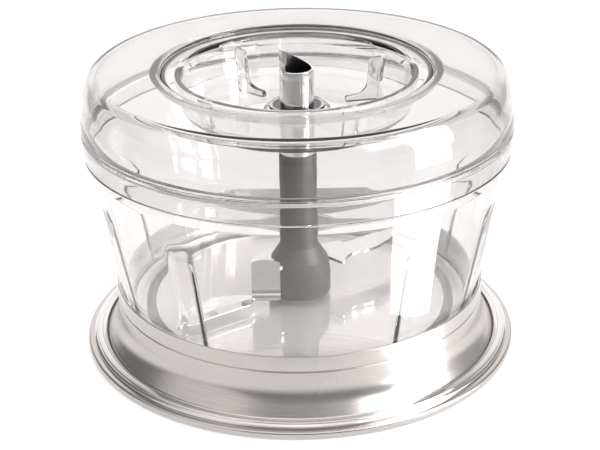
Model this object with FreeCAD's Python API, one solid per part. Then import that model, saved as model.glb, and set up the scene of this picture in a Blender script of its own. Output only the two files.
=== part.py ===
import FreeCAD, Part
import math
import os

# A top-driven food processor bowl: a clear bowl and lid on a satin metal base,
# with a two-armed blade unit that a motor head turns through a tube in the lid.
# Millimetres. +Z is up, the front is -Y, and the origin is the centre of the
# underside of the base.

Vector = FreeCAD.Vector
UP = Vector(0, 0, 1)
ORIGIN = Vector(0, 0, 0)

# Clearances
RUNNING = 0.1
SLIP = 0.3

# Base
BASE_R = 95.0
FLANGE_LOW = 0.5
FLANGE_TOP = 3.3
FLANGE_INNER_R = 73.0
BEAD_INNER_R = 86.8
BEAD_OUTER_R = 92.4
BEAD_TOP = 6.0
COLLAR_R = 80.6
COLLAR_TOP = 29.5
COLLAR_WALL = 1.0
COLLAR_FOOT = 22.5
FOOT_RING = (84.0, 92.0)
FOOT_GROOVE_TOP = 1.7
DECK_LOW = 11.6
DECK_TOP = 14.4
DECK_RIB = 2.5
PLATE_TOP = 15.4
PLATE_R = 77.2
PLATE_HOLE_R = 9.9
DECK_HOLE_R = 17.0
PAN_R = 78.0
PAN_WALL = 2.2
SCREW_CIRCLE_R = 77.5
SCREW_BOSS_R = 3.4
SCREW_R = 1.5
SCREW_HEAD_R = 2.8
SCREW_TOP = 10.0
SCREW_ANGLES = (45, 135, 225, 315)
GASKET = (64.5, 69.0)

# Bowl
BOWL_LOW = 16.0
FLOOR_TOP = 19.0
BOWL_WALL = 3.0
CONE_SLOPE = 0.195
CONE_R30 = 79.3
STEP_Z = 91.0
SPIGOT_R = 89.3
SPIGOT_WALL = 2.0
RIM_Z = 98.5
BOSS_R = 8.5
BOSS_TOP = 22.0
RIB_ANGLES = (25, 57, 123, 155, 205, 237, 303, 335)
RIB_WIDTH_DEG = 8.0
RIB_DEPTH = 2.2
RIB_TOP = 75.0

# Spindle and its fastening
SPINDLE_R = 4.0
SPINDLE_TOP = 70.0
SPINDLE_LOW = 9.5
NUT_AF = 13.0
NUT_HEIGHT = 4.0
WASHER_R = 9.5
WASHER_HEIGHT = 1.2

# Bearing sleeve
SLEEVE_R = 5.6
SLEEVE_LOW = 22.3
SLEEVE_FLANGE_R = 9.0
SLEEVE_FLANGE = 1.4
SLEEVE_CAP = 2.0

# Blade unit
STEM_CORE_R = 8.0
STEM_LOW = 25.2
STEM_R = 8.1
STEM_TOP = 86.0
HUB_R = 13.8
HUB_TOP_R = 12.6
HUB_LOW = 19.6
HUB_STRAIGHT_TOP = 28.0
HUB_CAVITY_R = 9.6
HUB_SHOULDER = 35.8
HUB_FLARE_TOP = 43.5
BLADE_THICKNESS = 1.4
UPPER_BLADE_Z = 32.0
LOWER_DISC_Z = HUB_SHOULDER - BLADE_THICKNESS
LOWER_BLADE_Z = 22.0
BEND_R = 2.4
DISC_R = 12.2
TAB_FACE = -12.8
TAB_TOP = 40.2
TAB_LEFT = -21.0
TAB_RIGHT = -8.4
STEP_EDGE = -16.2
TUBE_R = 7.35
TUBE_BORE_R = 5.4
TUBE_LOW = 74.0
SOCKET_R = 6.2
SOCKET_LOW = 112.0
LIP_Z = 122.3
TOOTH_TOP = 131.5
PLUG_TOP = 111.4
PIN_R = 1.25
PIN_Z = 77.0

# Lid
LID_R = 91.5
LID_LOW = STEP_Z + SLIP
LID_WALL = 2.6
GROOVE_Z = 100.4
LID_TOP = 123.7
WELL_LIP_R = 57.4
SEAT_Z = 119.7
SEAT_R = 54.9
WELL_TOP_R = 48.8
WELL_FLOOR_R = 46.2
WELL_FLOOR = 105.8
WELL_WALL = 2.2
WELL_LIP_RISE = 2.6
GUIDE_R = 13.5
GUIDE_LOW = 98.7
BUSH_R = 10.4
BUSH_FLANGE_R = 12.0
BUSH_LOW = 100.7
WELL_RIB_ANGLES = (40, 116, 220, 296)
WELL_RIB_WIDTH_DEG = 8.5
HOOK_THICKNESS = 2.6
HOOK_TOP = 125.0


def polar(radius, degrees, z=0.0):
    """A point at a radius and an angle about Z."""
    angle = math.radians(degrees)
    return Vector(radius * math.cos(angle), radius * math.sin(angle), z)


def outline(steps, place):
    """A closed face: a step is a point for a line, or (middle, end) for an arc."""
    edges = []
    here = steps[0]
    for step in steps[1:] + [steps[0]]:
        if isinstance(step[0], tuple):
            middle, end = step
            edges.append(Part.Arc(place(here), place(middle), place(end)).toShape())
        else:
            end = step
            if place(here).distanceToPoint(place(end)) > 1e-6:
                edges.append(Part.makeLine(place(here), place(end)))
        here = end
    return Part.Face(Part.Wire(edges))


def turned(steps, degrees=360.0, centre=0.0):
    """A solid turned about Z from (radius, height) steps."""
    face = outline(steps, lambda p: Vector(p[0], 0, p[1]))
    solid = face.revolve(ORIGIN, UP, degrees)
    if degrees < 360.0:
        solid.rotate(ORIGIN, UP, centre - degrees / 2)
    return solid


def plate(steps, low, thickness):
    """A flat plate from (x, y) steps."""
    face = outline(steps, lambda p: Vector(p[0], p[1], low))
    return face.extrude(Vector(0, 0, thickness))


def ring(inner, outer, low, high):
    """A plain ring, or a disc where inner is 0."""
    solid = Part.makeCylinder(outer, high - low, Vector(0, 0, low))
    if inner > 0:
        solid = solid.cut(Part.makeCylinder(inner, high - low + 2, Vector(0, 0, low - 1)))
    return solid


def joined(shapes):
    """Shapes that touch or overlap, as one solid."""
    return shapes[0].multiFuse(shapes[1:]).removeSplitter()


def cone_r(z):
    """Outer radius of the bowl's wall at a height."""
    return CONE_R30 + CONE_SLOPE * (z - 30.0)


def bowl_inner_r(z):
    """Inner radius of the bowl's wall at a height."""
    return min(cone_r(z) - BOWL_WALL, SPIGOT_R - SPIGOT_WALL)


# Base body

def base_ring():
    """Satin skirt: a collar round the bowl that flares into a wide flange."""
    inner_r = COLLAR_R - COLLAR_WALL
    solid = turned([
        (inner_r, COLLAR_TOP - 0.4),
        ((inner_r + 0.15, COLLAR_TOP - 0.1), (inner_r + 0.5, COLLAR_TOP)),
        ((COLLAR_R - 0.15, COLLAR_TOP - 0.1), (COLLAR_R, COLLAR_TOP - 0.4)),
        (COLLAR_R, COLLAR_FOOT),
        ((82.1, 11.6), (86.6, 4.6)),
        (86.6, FLANGE_TOP),
        (BASE_R - 1.2, FLANGE_TOP),
        ((BASE_R - 0.3, FLANGE_TOP - 0.3), (BASE_R, FLANGE_TOP - 1.2)),
        (BASE_R, FLANGE_LOW + 0.5),
        (BASE_R - 0.5, FLANGE_LOW),
        (FOOT_RING[1], FLANGE_LOW),
        (FOOT_RING[1], FOOT_GROOVE_TOP),
        (FOOT_RING[0], FOOT_GROOVE_TOP),
        (FOOT_RING[0], FLANGE_LOW),
        (FLANGE_INNER_R, FLANGE_LOW),
        (FLANGE_INNER_R, FLANGE_TOP),
        (84.6, FLANGE_TOP),
        ((80.9, 11.2), (inner_r, COLLAR_FOOT)),
    ])
    head_depth = SCREW_HEAD_R - SCREW_R
    for angle in SCREW_ANGLES:
        foot = polar(SCREW_CIRCLE_R, angle, FLANGE_LOW - 1)
        solid = solid.cut(Part.makeCylinder(SCREW_R + 0.1, 6, foot))
        sink = Part.makeCone(SCREW_HEAD_R + 1.1, SCREW_R + 0.1, head_depth + 1, foot)
        solid = solid.cut(sink)
    return solid


def rim_trim():
    """Polished half-round bead that lies on the flange."""
    middle = (BEAD_INNER_R + BEAD_OUTER_R) / 2
    inner = BEAD_INNER_R
    return turned([
        (inner, FLANGE_TOP),
        (inner, FLANGE_TOP + 1.2),
        ((inner + 0.7, BEAD_TOP - 0.45), (middle - 0.8, BEAD_TOP)),
        ((BEAD_OUTER_R - 0.9, BEAD_TOP - 0.7), (BEAD_OUTER_R, FLANGE_TOP)),
    ])


def foot_ring():
    """Rubber ring that the base stands on."""
    low, high = FOOT_RING
    return turned([
        (low + 0.1, FOOT_GROOVE_TOP),
        (low + 0.1, 0.6),
        (low + 0.7, 0),
        (high - 0.7, 0),
        (high - 0.1, 0.6),
        (high - 0.1, FOOT_GROOVE_TOP),
    ])


def base_pan():
    """Moulded support inside the skirt, with the deck that carries the bowl."""
    inner_wall = PAN_R - PAN_WALL
    solid = turned([
        (DECK_HOLE_R, DECK_LOW),
        (inner_wall, DECK_LOW),
        (inner_wall, FLANGE_TOP),
        (83.0, FLANGE_TOP),
        (82.2, FLANGE_TOP + 1.6),
        (PAN_R, FLANGE_TOP + 1.6),
        (PAN_R, DECK_TOP),
        (DECK_HOLE_R, DECK_TOP),
    ])
    for angle in SCREW_ANGLES:
        foot = polar(SCREW_CIRCLE_R, angle, FLANGE_TOP)
        boss = Part.makeCylinder(SCREW_BOSS_R, DECK_LOW - FLANGE_TOP, foot)
        boss = boss.common(ring(0, COLLAR_R - COLLAR_WALL - SLIP, 0, DECK_LOW))
        solid = solid.fuse(boss)
    for angle in SCREW_ANGLES:
        foot = polar(SCREW_CIRCLE_R, angle, FLANGE_TOP - 1)
        solid = solid.cut(Part.makeCylinder(SCREW_R, SCREW_TOP + 1 - FLANGE_TOP, foot))
    for angle in range(0, 360, 45):
        rib = Part.makeBox(56, 2, DECK_RIB, Vector(18, -1, DECK_LOW - DECK_RIB))
        rib.rotate(ORIGIN, UP, angle)
        solid = solid.fuse(rib)
    return solid.removeSplitter()


def deck_plate():
    """Mirror-polished steel disc on the support, seen through the bowl's floor."""
    return turned([
        (PLATE_HOLE_R, DECK_TOP),
        (PLATE_R, DECK_TOP),
        (PLATE_R, PLATE_TOP - 0.3),
        (PLATE_R - 0.3, PLATE_TOP),
        (PLATE_HOLE_R + 0.3, PLATE_TOP),
        (PLATE_HOLE_R, PLATE_TOP - 0.3),
    ])


def bowl_gasket():
    """Silicone ring on the deck plate, which the bowl's floor rests on."""
    inner, outer = GASKET
    return ring(inner, outer, PLATE_TOP, BOWL_LOW)


def base_screws():
    """Four countersunk screws that hold the skirt to the support."""
    screws = []
    head_depth = SCREW_HEAD_R - SCREW_R
    for angle in SCREW_ANGLES:
        foot = polar(SCREW_CIRCLE_R, angle, FLANGE_LOW)
        head = Part.makeCone(SCREW_HEAD_R, SCREW_R, head_depth, foot)
        shank = Part.makeCylinder(SCREW_R - 0.02, SCREW_TOP - FLANGE_LOW - 0.5, foot)
        slot = Part.makeBox(4.4, 0.8, 0.7, foot + Vector(-2.2, -0.4, 0))
        screws.append(head.fuse(shank).cut(slot))
    return Part.makeCompound(screws)


# Bowl body

def bowl():
    """Clear conical bowl with a flat floor, upright ribs and a stepped rim."""
    low_r = cone_r(BOWL_LOW)
    spigot_inner = SPIGOT_R - SPIGOT_WALL
    neck_z = 30.0 + (spigot_inner + BOWL_WALL - CONE_R30) / CONE_SLOPE
    shell = turned([
        (SPINDLE_R, BOWL_LOW),
        (low_r - 6.0, BOWL_LOW),
        ((low_r - 1.6, BOWL_LOW + 1.7), (cone_r(22.0), 22.0)),
        (cone_r(STEP_Z), STEP_Z),
        (SPIGOT_R, STEP_Z),
        (SPIGOT_R, RIM_Z - 0.5),
        (SPIGOT_R - 0.5, RIM_Z),
        (spigot_inner + 0.5, RIM_Z),
        (spigot_inner, RIM_Z - 0.5),
        (spigot_inner, neck_z),
        (bowl_inner_r(24.0), 24.0),
        ((bowl_inner_r(24.0) - 2.0, 20.3), (bowl_inner_r(19.0) - 5.2, FLOOR_TOP)),
        (BOSS_R, FLOOR_TOP),
        (BOSS_R, BOSS_TOP),
        (SPINDLE_R, BOSS_TOP),
    ])
    ribs = [
        turned([
            (bowl_inner_r(20.0) - RIB_DEPTH - 2.5, FLOOR_TOP - 0.5),
            (bowl_inner_r(20.0) + 1.0, FLOOR_TOP - 0.5),
            (bowl_inner_r(RIB_TOP) + 1.0, RIB_TOP),
            (bowl_inner_r(RIB_TOP) - RIB_DEPTH + 0.8, RIB_TOP),
            (bowl_inner_r(RIB_TOP) - RIB_DEPTH, RIB_TOP - 1.2),
            (bowl_inner_r(26.0) - RIB_DEPTH, 26.0),
        ], RIB_WIDTH_DEG, angle)
        for angle in RIB_ANGLES
    ]
    return joined([shell] + ribs)


def spindle():
    """Fixed steel pin that the blade unit turns on, with a shoulder on the boss."""
    return turned([
        (0, SPINDLE_LOW),
        (SPINDLE_R - 0.8, SPINDLE_LOW),
        (SPINDLE_R - 0.02, SPINDLE_LOW + 0.8),
        (SPINDLE_R - 0.02, SPINDLE_TOP - 1.5),
        (SPINDLE_R - 1.5, SPINDLE_TOP),
        (0, SPINDLE_TOP),
    ])


def spindle_washer():
    """Sealing washer between the bowl's floor and the nut."""
    return ring(SPINDLE_R, WASHER_R, BOWL_LOW - WASHER_HEIGHT, BOWL_LOW)


def spindle_nut():
    """Hexagon nut under the bowl."""
    corner = NUT_AF / math.sqrt(3)
    top = BOWL_LOW - WASHER_HEIGHT
    corners = [polar(corner, 60 * i, top - NUT_HEIGHT) for i in range(7)]
    body = Part.Face(Part.makePolygon(corners)).extrude(Vector(0, 0, NUT_HEIGHT))
    chamfer = turned([
        (0, top - NUT_HEIGHT),
        (corner - 0.9, top - NUT_HEIGHT),
        (corner, top - NUT_HEIGHT + 0.5),
        (corner, top),
        (0, top),
    ])
    return body.common(chamfer).cut(ring(0, SPINDLE_R, 0, 30))


# Carrier body

def bearing_sleeve():
    """Nylon sleeve, closed at the top, that sits over the spindle."""
    bore = SPINDLE_R + RUNNING
    flange_top = SLEEVE_LOW + SLEEVE_FLANGE
    return turned([
        (bore, SLEEVE_LOW),
        (SLEEVE_FLANGE_R, SLEEVE_LOW),
        (SLEEVE_FLANGE_R, flange_top),
        (SLEEVE_R, flange_top),
        (SLEEVE_R, SPINDLE_TOP + SLEEVE_CAP - 0.6),
        (SLEEVE_R - 0.6, SPINDLE_TOP + SLEEVE_CAP),
        (0, SPINDLE_TOP + SLEEVE_CAP),
        (0, SPINDLE_TOP),
        (bore, SPINDLE_TOP),
    ])


def thrust_washer():
    """Steel washer on the sleeve's flange, which takes the blade unit's weight."""
    low = SLEEVE_LOW + SLEEVE_FLANGE
    return ring(SLEEVE_R + 0.02, SLEEVE_FLANGE_R, low, STEM_LOW - SLIP)


# Blade unit body

def blade_stem():
    """Grey stem: a slim upper barrel that flares into the hub's shoulder."""
    bore = SLEEVE_R + RUNNING
    bore_top = SPINDLE_TOP + SLEEVE_CAP + SLIP
    solid = turned([
        (bore, STEM_LOW),
        (STEM_CORE_R, STEM_LOW),
        (STEM_CORE_R, HUB_SHOULDER),
        (HUB_TOP_R, HUB_SHOULDER),
        ((10.4, 39.2), (8.25, HUB_FLARE_TOP)),
        (STEM_R, STEM_TOP - 0.4),
        (STEM_R - 0.4, STEM_TOP),
        (TUBE_R + 0.02, STEM_TOP),
        (TUBE_R + 0.02, TUBE_LOW),
        (TUBE_BORE_R - 0.02, TUBE_LOW),
        (TUBE_BORE_R - 0.02, PLUG_TOP - 0.5),
        (TUBE_BORE_R - 0.5, PLUG_TOP),
        (0, PLUG_TOP),
        (0, bore_top),
        (bore, bore_top),
    ])
    hole = Part.makeCylinder(PIN_R, 2 * TUBE_R - 0.1, Vector(-TUBE_R + 0.05, 0, PIN_Z), Vector(1, 0, 0))
    return solid.cut(hole)


def drive_tube():
    """Polished tube with one ramped drive tooth cut into its mouth."""
    tube = turned([
        (TUBE_BORE_R, TUBE_LOW),
        (TUBE_R, TUBE_LOW),
        (TUBE_R, TOOTH_TOP),
        (SOCKET_R, TOOTH_TOP),
        (SOCKET_R, SOCKET_LOW),
        (TUBE_BORE_R, SOCKET_LOW),
    ])
    ramp_end = 200.0
    tooth_end = 230.0
    inner_r = SOCKET_R - 1.5
    outer_r = TUBE_R + 1.5
    rails = []
    for radius in (inner_r, outer_r):
        points = []
        for i in range(21):
            share = i / 20
            height = LIP_Z + (TOOTH_TOP - LIP_Z) * (1 - math.cos(math.pi * share / 1.25)) / 1.809
            points.append(polar(radius, ramp_end * share, height))
        curve = Part.BSplineCurve()
        curve.interpolate(points)
        rails.append(curve.toShape())
    above_ramp = Part.makeRuledSurface(rails[0], rails[1]).extrude(Vector(0, 0, 20))
    low_side = turned([
        (inner_r, LIP_Z),
        (outer_r, LIP_Z),
        (outer_r, LIP_Z + 20),
        (inner_r, LIP_Z + 20),
    ], 360.0 - tooth_end, (360.0 + tooth_end) / 2)
    pin_hole = Part.makeCylinder(PIN_R, 40, Vector(-20, 0, PIN_Z), Vector(1, 0, 0))
    return tube.cut(above_ramp).cut(low_side).cut(pin_hole)


def drive_pin():
    """Cross pin that carries the torque from the tube to the stem."""
    length = 2 * TUBE_R - 0.2
    return Part.makeCylinder(PIN_R, length, Vector(-length / 2, 0, PIN_Z), Vector(1, 0, 0))


def blade_disc(low):
    """Centre of a blade, clamped between the rings of the hub."""
    return ring(STEM_CORE_R + 0.02, DISC_R, low, low + BLADE_THICKNESS)


def ground_edge(start, end, low, width, left):
    """Wedge to cut from a plate's top so that an edge from start to end is sharp."""
    along = Vector(end[0] - start[0], end[1] - start[1], 0).normalize()
    inward = Vector(-along.y, along.x, 0) * (1 if left else -1)
    first = Vector(start[0], start[1], low) - along * 4
    section = [
        first - inward * 1 + Vector(0, 0, 0.05),
        first + Vector(0, 0, 0.25),
        first + inward * width + Vector(0, 0, BLADE_THICKNESS),
        first + inward * width + Vector(0, 0, BLADE_THICKNESS + 2),
        first - inward * 1 + Vector(0, 0, BLADE_THICKNESS + 2),
    ]
    length = math.dist(start, end) + 8
    return Part.Face(Part.makePolygon(section + section[:1])).extrude(along * length)


def upper_blade():
    """Upper arm: a flat sickle that leaves the hub to the right."""
    tip = (49.6, 41.0)
    arm = plate([
        (9.0, 8.0),
        (18.4, -1.4),
        ((19.8, -1.4), (20.6, 0.4)),
        ((22.8, 6.0), (27.6, 9.0)),
        ((34.0, 12.6), (39.2, 18.2)),
        ((45.6, 28.4), tip),
        ((48.6, 41.4), (47.4, 40.4)),
        ((35.6, 31.4), (21.7, 22.5)),
        ((12.0, 17.4), (2.0, 11.6)),
    ], UPPER_BLADE_Z, BLADE_THICKNESS)
    arm = arm.cut(ring(0, DISC_R - 0.7, 30, 40))
    edge = ground_edge((21.7, 22.5), (47.4, 40.4), UPPER_BLADE_Z, 3.0, False)
    return joined([blade_disc(UPPER_BLADE_Z), arm.cut(edge)])


def lower_blade():
    """Lower arm: cranked down beside the hub and swept along the bowl's floor."""
    thick = BLADE_THICKNESS
    low_top = LOWER_BLADE_Z + thick
    back = TAB_FACE + thick
    inner_bend = BEND_R - thick
    bend_z = low_top + inner_bend
    bend_y = TAB_FACE - inner_bend
    diagonal = math.sqrt(0.5)
    foot = outline([
        (back, bend_z + 1.0),
        (TAB_FACE, bend_z + 1.0),
        (TAB_FACE, bend_z),
        ((bend_y + inner_bend * diagonal, bend_z - inner_bend * diagonal), (bend_y, low_top)),
        (STEP_EDGE, low_top),
        (STEP_EDGE, LOWER_BLADE_Z),
        (bend_y, LOWER_BLADE_Z),
        ((bend_y + BEND_R * diagonal, bend_z - BEND_R * diagonal), (back, bend_z)),
    ], lambda p: Vector(TAB_LEFT, p[0], p[1])).extrude(Vector(TAB_RIGHT - TAB_LEFT, 0, 0))
    tab = outline([
        (TAB_LEFT, bend_z),
        (TAB_LEFT, TAB_TOP - 1.8),
        ((TAB_LEFT + 0.4, TAB_TOP - 1.0), (TAB_LEFT + 1.6, TAB_TOP - 0.6)),
        ((-15.5, TAB_TOP), (TAB_RIGHT, TAB_TOP - 1.4)),
        (TAB_RIGHT, bend_z),
    ], lambda p: Vector(p[0], TAB_FACE, p[1])).extrude(Vector(0, thick, 0))
    root = plate([
        (-3.0, 10.8),
        ((-13.0, 7.0), (-19.0, 0.0)),
        ((-20.6, -3.0), (TAB_LEFT + 0.2, -7.0)),
        (TAB_LEFT + 0.2, back),
        (TAB_RIGHT, back),
        (-3.0, -8.0),
    ], LOWER_DISC_Z, thick)
    tip = (-51.8, -40.4)
    blade = plate([
        (TAB_RIGHT, bend_y),
        (TAB_RIGHT, STEP_EDGE),
        (-19.8, STEP_EDGE),
        ((-21.0, -18.2), (-21.7, -20.5)),
        ((-37.0, -30.8), (-49.4, -40.0)),
        ((-50.6, -41.0), tip),
        ((-45.6, -22.4), (-38.0, -16.0)),
        ((-30.0, -13.6), (TAB_LEFT - 1.0, bend_y)),
    ], LOWER_BLADE_Z, thick)
    edge = ground_edge((-21.7, -20.5), tip, LOWER_BLADE_Z, 3.0, False)
    core = ring(0, STEM_CORE_R + 0.02, LOWER_DISC_Z - 1, HUB_SHOULDER + 1)
    arm = joined([foot, tab, root.cut(core), blade.cut(edge)])
    return joined([blade_disc(LOWER_DISC_Z), arm])


def blade_spacer():
    """Ring between the two blades, with a skirt round both that their arms pass through."""
    bore = STEM_CORE_R + 0.02
    skirt = DISC_R + 0.05
    low, high = UPPER_BLADE_Z + BLADE_THICKNESS, LOWER_DISC_Z
    solid = turned([
        (bore, low),
        (skirt, low),
        (skirt, UPPER_BLADE_Z),
        (HUB_TOP_R + 0.7, UPPER_BLADE_Z),
        ((HUB_TOP_R + 0.5, HUB_SHOULDER - 1.6), (HUB_TOP_R, HUB_SHOULDER)),
        (skirt, HUB_SHOULDER),
        (skirt, high),
        (bore, high),
    ])
    return solid.cut(upper_blade()).cut(lower_blade())


def hub_foot():
    """Lower part of the hub, pressed on under the blades, open at the bottom."""
    return turned([
        (HUB_CAVITY_R, HUB_LOW),
        (HUB_R - 0.8, HUB_LOW),
        (HUB_R, HUB_LOW + 0.8),
        (HUB_R, HUB_STRAIGHT_TOP),
        ((HUB_R - 0.1, HUB_STRAIGHT_TOP + 2.0), (HUB_TOP_R + 0.7, UPPER_BLADE_Z)),
        (STEM_CORE_R + 0.02, UPPER_BLADE_Z),
        (STEM_CORE_R + 0.02, STEM_LOW + 0.6),
        (HUB_CAVITY_R, STEM_LOW + 0.6),
    ])


# Lid body

def lid_shell():
    """Clear lid: upright skirt, rounded shoulder and a flat top round the well."""
    skirt_inner = SPIGOT_R + SLIP
    inside_r = LID_R - LID_WALL
    return turned([
        (skirt_inner, LID_LOW),
        (cone_r(STEP_Z) - 0.4, LID_LOW),
        (cone_r(STEP_Z), LID_LOW + 0.4),
        (LID_R, GROOVE_Z - 0.5),
        (LID_R - 0.5, GROOVE_Z - 0.1),
        (LID_R - 0.5, GROOVE_Z + 0.1),
        (LID_R, GROOVE_Z + 0.5),
        ((90.6, 112.0), (88.0, 120.4)),
        ((86.6, 122.9), (83.6, LID_TOP)),
        (WELL_LIP_R + 1.2, LID_TOP),
        ((WELL_LIP_R + 0.35, LID_TOP - 0.35), (WELL_LIP_R, LID_TOP - 1.2)),
        (WELL_LIP_R, SEAT_Z),
        (SEAT_R, SEAT_Z),
        (SEAT_R, SEAT_Z - 2.2),
        (WELL_LIP_R + 2.0, SEAT_Z - 2.2),
        (WELL_LIP_R + 3.2, LID_TOP - LID_WALL),
        (82.8, LID_TOP - LID_WALL),
        ((84.9, 120.3), (85.9, 118.8)),
        ((88.2, 111.2), (inside_r, GROOVE_Z + 1.0)),
        (SPIGOT_R - SPIGOT_WALL - 0.8, GROOVE_Z + 1.0),
        (SPIGOT_R - SPIGOT_WALL - 0.8, GROOVE_Z - 0.4),
        (skirt_inner, GROOVE_Z - 0.4),
    ])


def lid_seal():
    """Silicone ring between the bowl's rim and the lid."""
    return ring(SPIGOT_R - SPIGOT_WALL - 0.6, SPIGOT_R - 0.1, RIM_Z, GROOVE_Z - 0.4)


def hook(angle, reach):
    """Upright J-shaped guide fin on the well's floor."""
    foot = WELL_FLOOR - 0.5
    steps = [
        (reach - 13.0, foot),
        (reach + 1.0, foot),
        (reach + 2.4, HOOK_TOP - 6.0),
        (reach + 3.6, HOOK_TOP - 3.0),
        (reach + 3.0, HOOK_TOP - 0.6),
        ((reach + 0.6, HOOK_TOP), (reach - 2.4, HOOK_TOP - 0.8)),
        (reach - 2.8, HOOK_TOP - 2.4),
        (reach - 3.6, WELL_FLOOR + 8.0),
        ((reach - 5.4, WELL_FLOOR + 4.4), (reach - 9.0, WELL_FLOOR + 3.0)),
        (reach - 13.0, WELL_FLOOR + 2.2),
    ]
    face = outline(steps, lambda p: Vector(p[0], -HOOK_THICKNESS / 2, p[1]))
    solid = face.extrude(Vector(0, HOOK_THICKNESS, 0))
    solid.rotate(ORIGIN, UP, angle)
    return solid


def well_cup():
    """Recessed seat for the motor head, with its guide boss, ribs and hooks."""
    under = WELL_FLOOR - 2.4
    lip_top = SEAT_Z + WELL_LIP_RISE
    cup = turned([
        (BUSH_R + 0.05, GUIDE_LOW),
        (GUIDE_R, GUIDE_LOW),
        (GUIDE_R, under),
        (WELL_FLOOR_R - 1.0, under),
        ((WELL_FLOOR_R + 1.5, under + 1.0), (WELL_FLOOR_R + WELL_WALL + 0.2, under + 4.0)),
        (WELL_TOP_R + WELL_WALL, SEAT_Z - 3.0),
        (WELL_TOP_R + WELL_WALL, SEAT_Z),
        (WELL_LIP_R - 0.2, SEAT_Z),
        (WELL_LIP_R - 0.2, SEAT_Z + 0.8),
        ((WELL_LIP_R - 0.9, lip_top - 0.4), (WELL_LIP_R - 2.4, lip_top)),
        (WELL_TOP_R + 2.2, lip_top),
        ((WELL_TOP_R + 0.6, lip_top - 0.7), (WELL_TOP_R, lip_top - 2.2)),
        (WELL_FLOOR_R + 0.4, WELL_FLOOR + 3.0),
        ((WELL_FLOOR_R - 0.7, WELL_FLOOR + 0.8), (WELL_FLOOR_R - 3.0, WELL_FLOOR)),
        (BUSH_R + 0.05, WELL_FLOOR),
    ])
    ribs = [
        turned([
            (WELL_FLOOR_R - 3.5, WELL_FLOOR - 0.5),
            (WELL_FLOOR_R + 1.0, WELL_FLOOR - 0.5),
            (WELL_TOP_R + 0.6, SEAT_Z - 1.0),
            (WELL_TOP_R - 1.8, SEAT_Z - 1.0),
            (WELL_TOP_R - 3.6, SEAT_Z - 2.8),
        ], WELL_RIB_WIDTH_DEG, angle)
        for angle in WELL_RIB_ANGLES
    ]
    return joined([cup, hook(140, 31.0), hook(12, 34.0)] + ribs)


def well_bush():
    """Nylon bush in the well's floor, which the drive tube turns in."""
    return turned([
        (TUBE_R + RUNNING, BUSH_LOW),
        (BUSH_R, BUSH_LOW),
        (BUSH_R, WELL_FLOOR),
        (BUSH_FLANGE_R, WELL_FLOOR),
        (BUSH_FLANGE_R - 0.3, WELL_FLOOR + 1.0),
        (TUBE_R + RUNNING, WELL_FLOOR + 1.0),
    ])


def tube_seal():
    """Lip seal under the bush."""
    return ring(TUBE_R + SLIP, BUSH_R, GUIDE_LOW + 0.2, BUSH_LOW)


PARTS = {
    "base_ring": base_ring,
    "rim_trim": rim_trim,
    "foot_ring": foot_ring,
    "base_pan": base_pan,
    "deck_plate": deck_plate,
    "bowl_gasket": bowl_gasket,
    "base_screws": base_screws,
    "bowl": bowl,
    "spindle": spindle,
    "spindle_washer": spindle_washer,
    "spindle_nut": spindle_nut,
    "bearing_sleeve": bearing_sleeve,
    "thrust_washer": thrust_washer,
    "blade_stem": blade_stem,
    "drive_tube": drive_tube,
    "drive_pin": drive_pin,
    "upper_blade": upper_blade,
    "lower_blade": lower_blade,
    "blade_spacer": blade_spacer,
    "hub_foot": hub_foot,
    "lid_shell": lid_shell,
    "lid_seal": lid_seal,
    "well_cup": well_cup,
    "well_bush": well_bush,
    "tube_seal": tube_seal,
}

os.makedirs("parts", exist_ok=True)
for name, make in PARTS.items():
    shape = make()
    print(name, len(shape.Solids), shape.isValid(), round(shape.Volume))
    shape.exportStep("parts/" + name + ".step")
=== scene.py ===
import math

import bmesh
import bpy
import numpy as np
from mathutils import Matrix, Vector


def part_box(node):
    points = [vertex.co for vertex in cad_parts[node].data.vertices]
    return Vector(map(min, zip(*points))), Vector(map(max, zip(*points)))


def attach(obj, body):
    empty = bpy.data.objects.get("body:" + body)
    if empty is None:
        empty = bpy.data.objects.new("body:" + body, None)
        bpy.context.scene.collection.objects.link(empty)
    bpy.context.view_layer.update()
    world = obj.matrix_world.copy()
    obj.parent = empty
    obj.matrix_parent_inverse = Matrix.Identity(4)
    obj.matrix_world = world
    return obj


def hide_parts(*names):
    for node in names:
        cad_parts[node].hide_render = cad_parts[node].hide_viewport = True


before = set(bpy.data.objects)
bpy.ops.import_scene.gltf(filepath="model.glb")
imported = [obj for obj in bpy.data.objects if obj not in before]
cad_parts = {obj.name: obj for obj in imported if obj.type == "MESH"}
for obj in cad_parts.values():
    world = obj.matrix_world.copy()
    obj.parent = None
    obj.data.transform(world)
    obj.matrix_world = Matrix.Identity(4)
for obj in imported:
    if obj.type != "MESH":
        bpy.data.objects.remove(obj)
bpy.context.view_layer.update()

# Profiles are (radius, height) in millimetres, heights measured up from the floor.
MM = 0.001
TINY = 1e-6


def low(node):
    """Lowest height of a CAD node, in millimetres."""
    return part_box(node)[0].z / MM


def top(node):
    """Highest height of a CAD node, in millimetres."""
    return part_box(node)[1].z / MM


def reach(node):
    """Largest radius of a turned CAD node, in millimetres."""
    return max(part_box(node)[1].x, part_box(node)[1].y) / MM


# ---------------------------------------------------------------- mesh tools

NEARLY_STRAIGHT = math.radians(89)
FILLET_SHARE = 0.49
WELD_DISTANCE = 1e-7


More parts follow.
